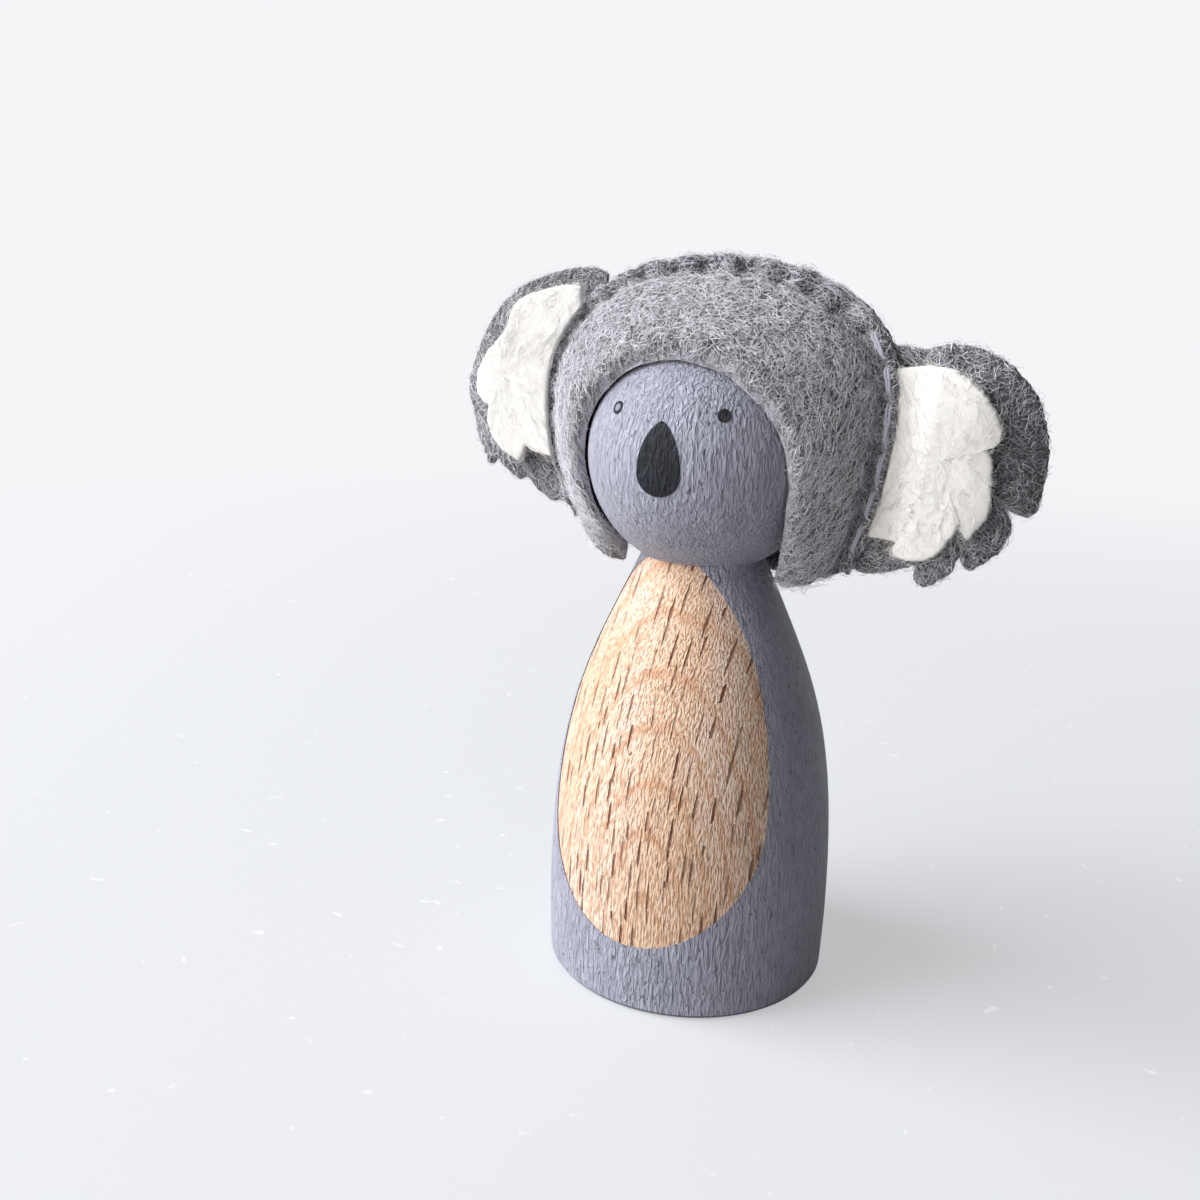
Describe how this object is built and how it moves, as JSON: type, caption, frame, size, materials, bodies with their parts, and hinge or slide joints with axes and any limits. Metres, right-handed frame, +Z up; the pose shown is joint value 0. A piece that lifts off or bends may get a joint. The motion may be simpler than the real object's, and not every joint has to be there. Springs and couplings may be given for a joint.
{
  "type": "peg doll",
  "caption": "Wooden peg doll with a painted coat and bare belly, wearing a sewn felt animal hood that turns on its ball head and has soft ears that flex.",
  "frame": {"origin": "middle of the peg's flat base, on the surface it stands on", "axes": "+Z up along the peg's turning axis, -Y the way the face looks, +X the side of the ear on the right in a front view"},
  "size_m": [0.072, 0.0352, 0.0868],
  "materials": {
    "beech": "bare sanded beech with fine ray flecks",
    "coat_paint": "matt brushed acrylic paint, lilac grey",
    "face_paint": "matt near-black acrylic paint",
    "grey_felt": "heathered grey wool-blend felt, fuzzy",
    "white_felt": "off-white wool-blend felt",
    "thread": "two-strand sewing floss, pale lilac grey"
  },
  "bodies": {
    "doll": {"peg": "beech", "coat_paint": "coat_paint", "nose_paint": "face_paint", "eye_paint": "face_paint"},
    "hood": {"hood_front_panel": "grey_felt", "hood_back_panel": "grey_felt", "rim_seam_thread": "thread"},
    "ear_right": {"ear_outer_right": "grey_felt", "ear_inner_right": "white_felt"},
    "ear_left": {"ear_outer_left": "grey_felt", "ear_inner_left": "white_felt"}
  },
  "joints": [
    {"name": "hood_turn", "type": "hinge", "parent": "doll", "child": "hood", "pos_m": [0, 0, 0.0645], "axis": [0, 0, 1], "continuous": true},
    {"name": "ear_right_flex", "type": "hinge", "parent": "hood", "child": "ear_right", "pos_m": [0.02235, 0, 0.06294], "axis": [0.0698, 0, 0.9976], "range_deg": [-45, 45], "stiffness_Nm_per_rad": 0.001},
    {"name": "ear_left_flex", "type": "hinge", "parent": "hood", "child": "ear_left", "pos_m": [-0.02235, 0, 0.06606], "axis": [-0.0698, 0, -0.9976], "range_deg": [-45, 45], "stiffness_Nm_per_rad": 0.001}
  ]
}
